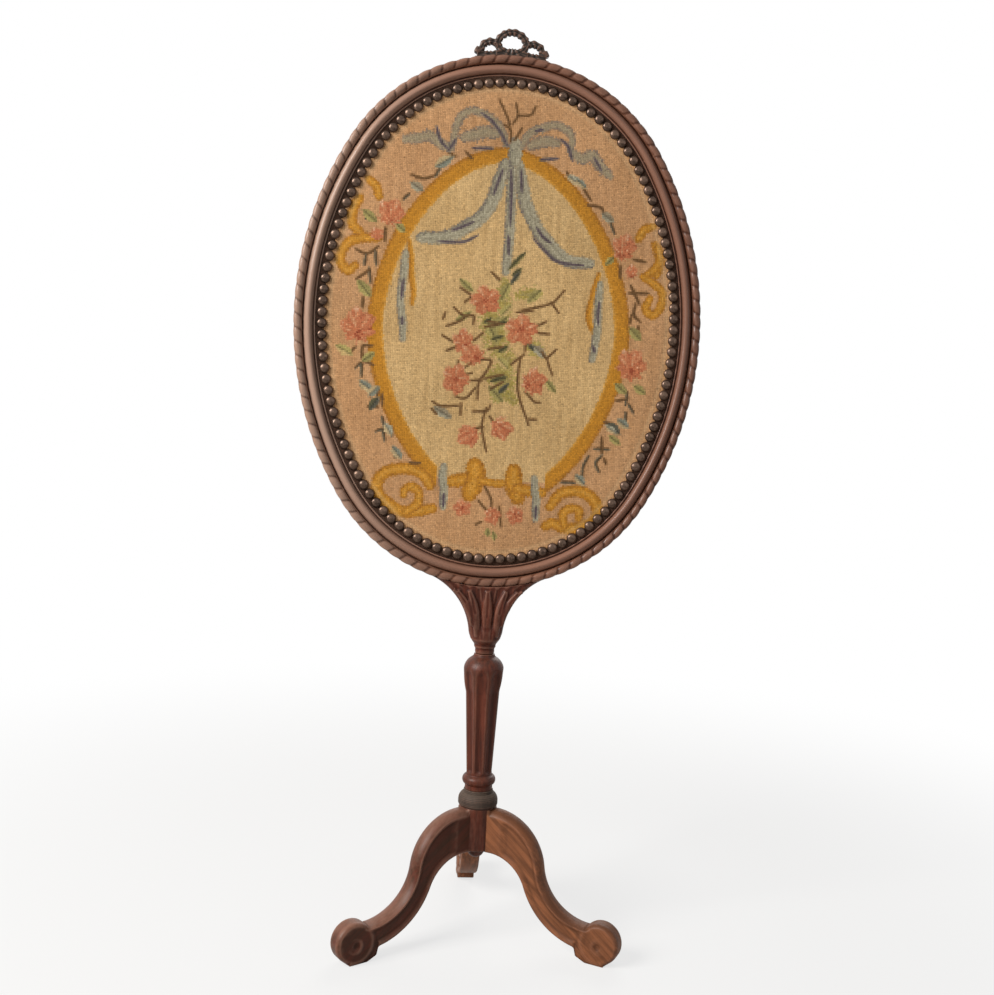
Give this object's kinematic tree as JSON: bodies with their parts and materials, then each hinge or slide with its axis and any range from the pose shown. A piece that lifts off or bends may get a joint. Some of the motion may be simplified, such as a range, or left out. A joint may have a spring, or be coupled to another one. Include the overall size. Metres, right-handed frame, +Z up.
{
  "type": "fire screen",
  "caption": "Oval needlepoint fire screen: a moulded oval frame with an openwork crest, swivelling on a turned, fluted column with a scroll-footed tripod.",
  "frame": {"origin": "on the floor, at the centre of the box that the whole object fills in plan", "axes": "+Z up along the column, -Y towards the viewer who sees the needlepoint, +X to that viewer's right"},
  "size_m": [0.43, 0.2542, 0.9516],
  "materials": {
    "walnut_frame": "waxed walnut with worn, paler crowns and dark hollows",
    "walnut_leg": "waxed walnut, worn on the backs and dusty in the hollows",
    "walnut_turning": "reddish polished walnut",
    "dusty_collar": "grey-brown walnut with settled dust",
    "beech_dowel": "plain pale beech",
    "needlepoint_wool": "wool tent stitch in straw, peach, ochre, coral, green and grey-blue",
    "linen_canvas": "plain open linen canvas",
    "backing_cotton": "plain brown cotton cloth",
    "bronze_nail": "dark bronzed brass, rubbed bright on the domes",
    "blued_tack": "blued cut tacks"
  },
  "bodies": {
    "stand": {"leg_front_left": "walnut_leg", "leg_front_right": "walnut_leg", "leg_rear": "walnut_leg", "hub": "walnut_turning", "base_collar": "dusty_collar", "column": "walnut_turning"},
    "screen": {"pivot_dowel": "beech_dowel", "bracket": "walnut_frame", "bracket_dowels": "beech_dowel", "frame_top": "walnut_frame", "frame_right": "walnut_frame", "frame_bottom": "walnut_frame", "frame_left": "walnut_frame", "frame_dowels": "beech_dowel", "crest": "walnut_frame", "crest_dowels": "beech_dowel", "needlepoint": "needlepoint_wool", "lining_canvas": "linen_canvas", "backing_cloth": "backing_cotton", "front_nails": "bronze_nail", "backing_tacks": "blued_tack"}
  },
  "joints": [
    {"name": "panel_swivel", "type": "hinge", "parent": "stand", "child": "screen", "pos_m": [0, -0.0363, 0.292], "axis": [0, 0, 1], "continuous": true}
  ]
}
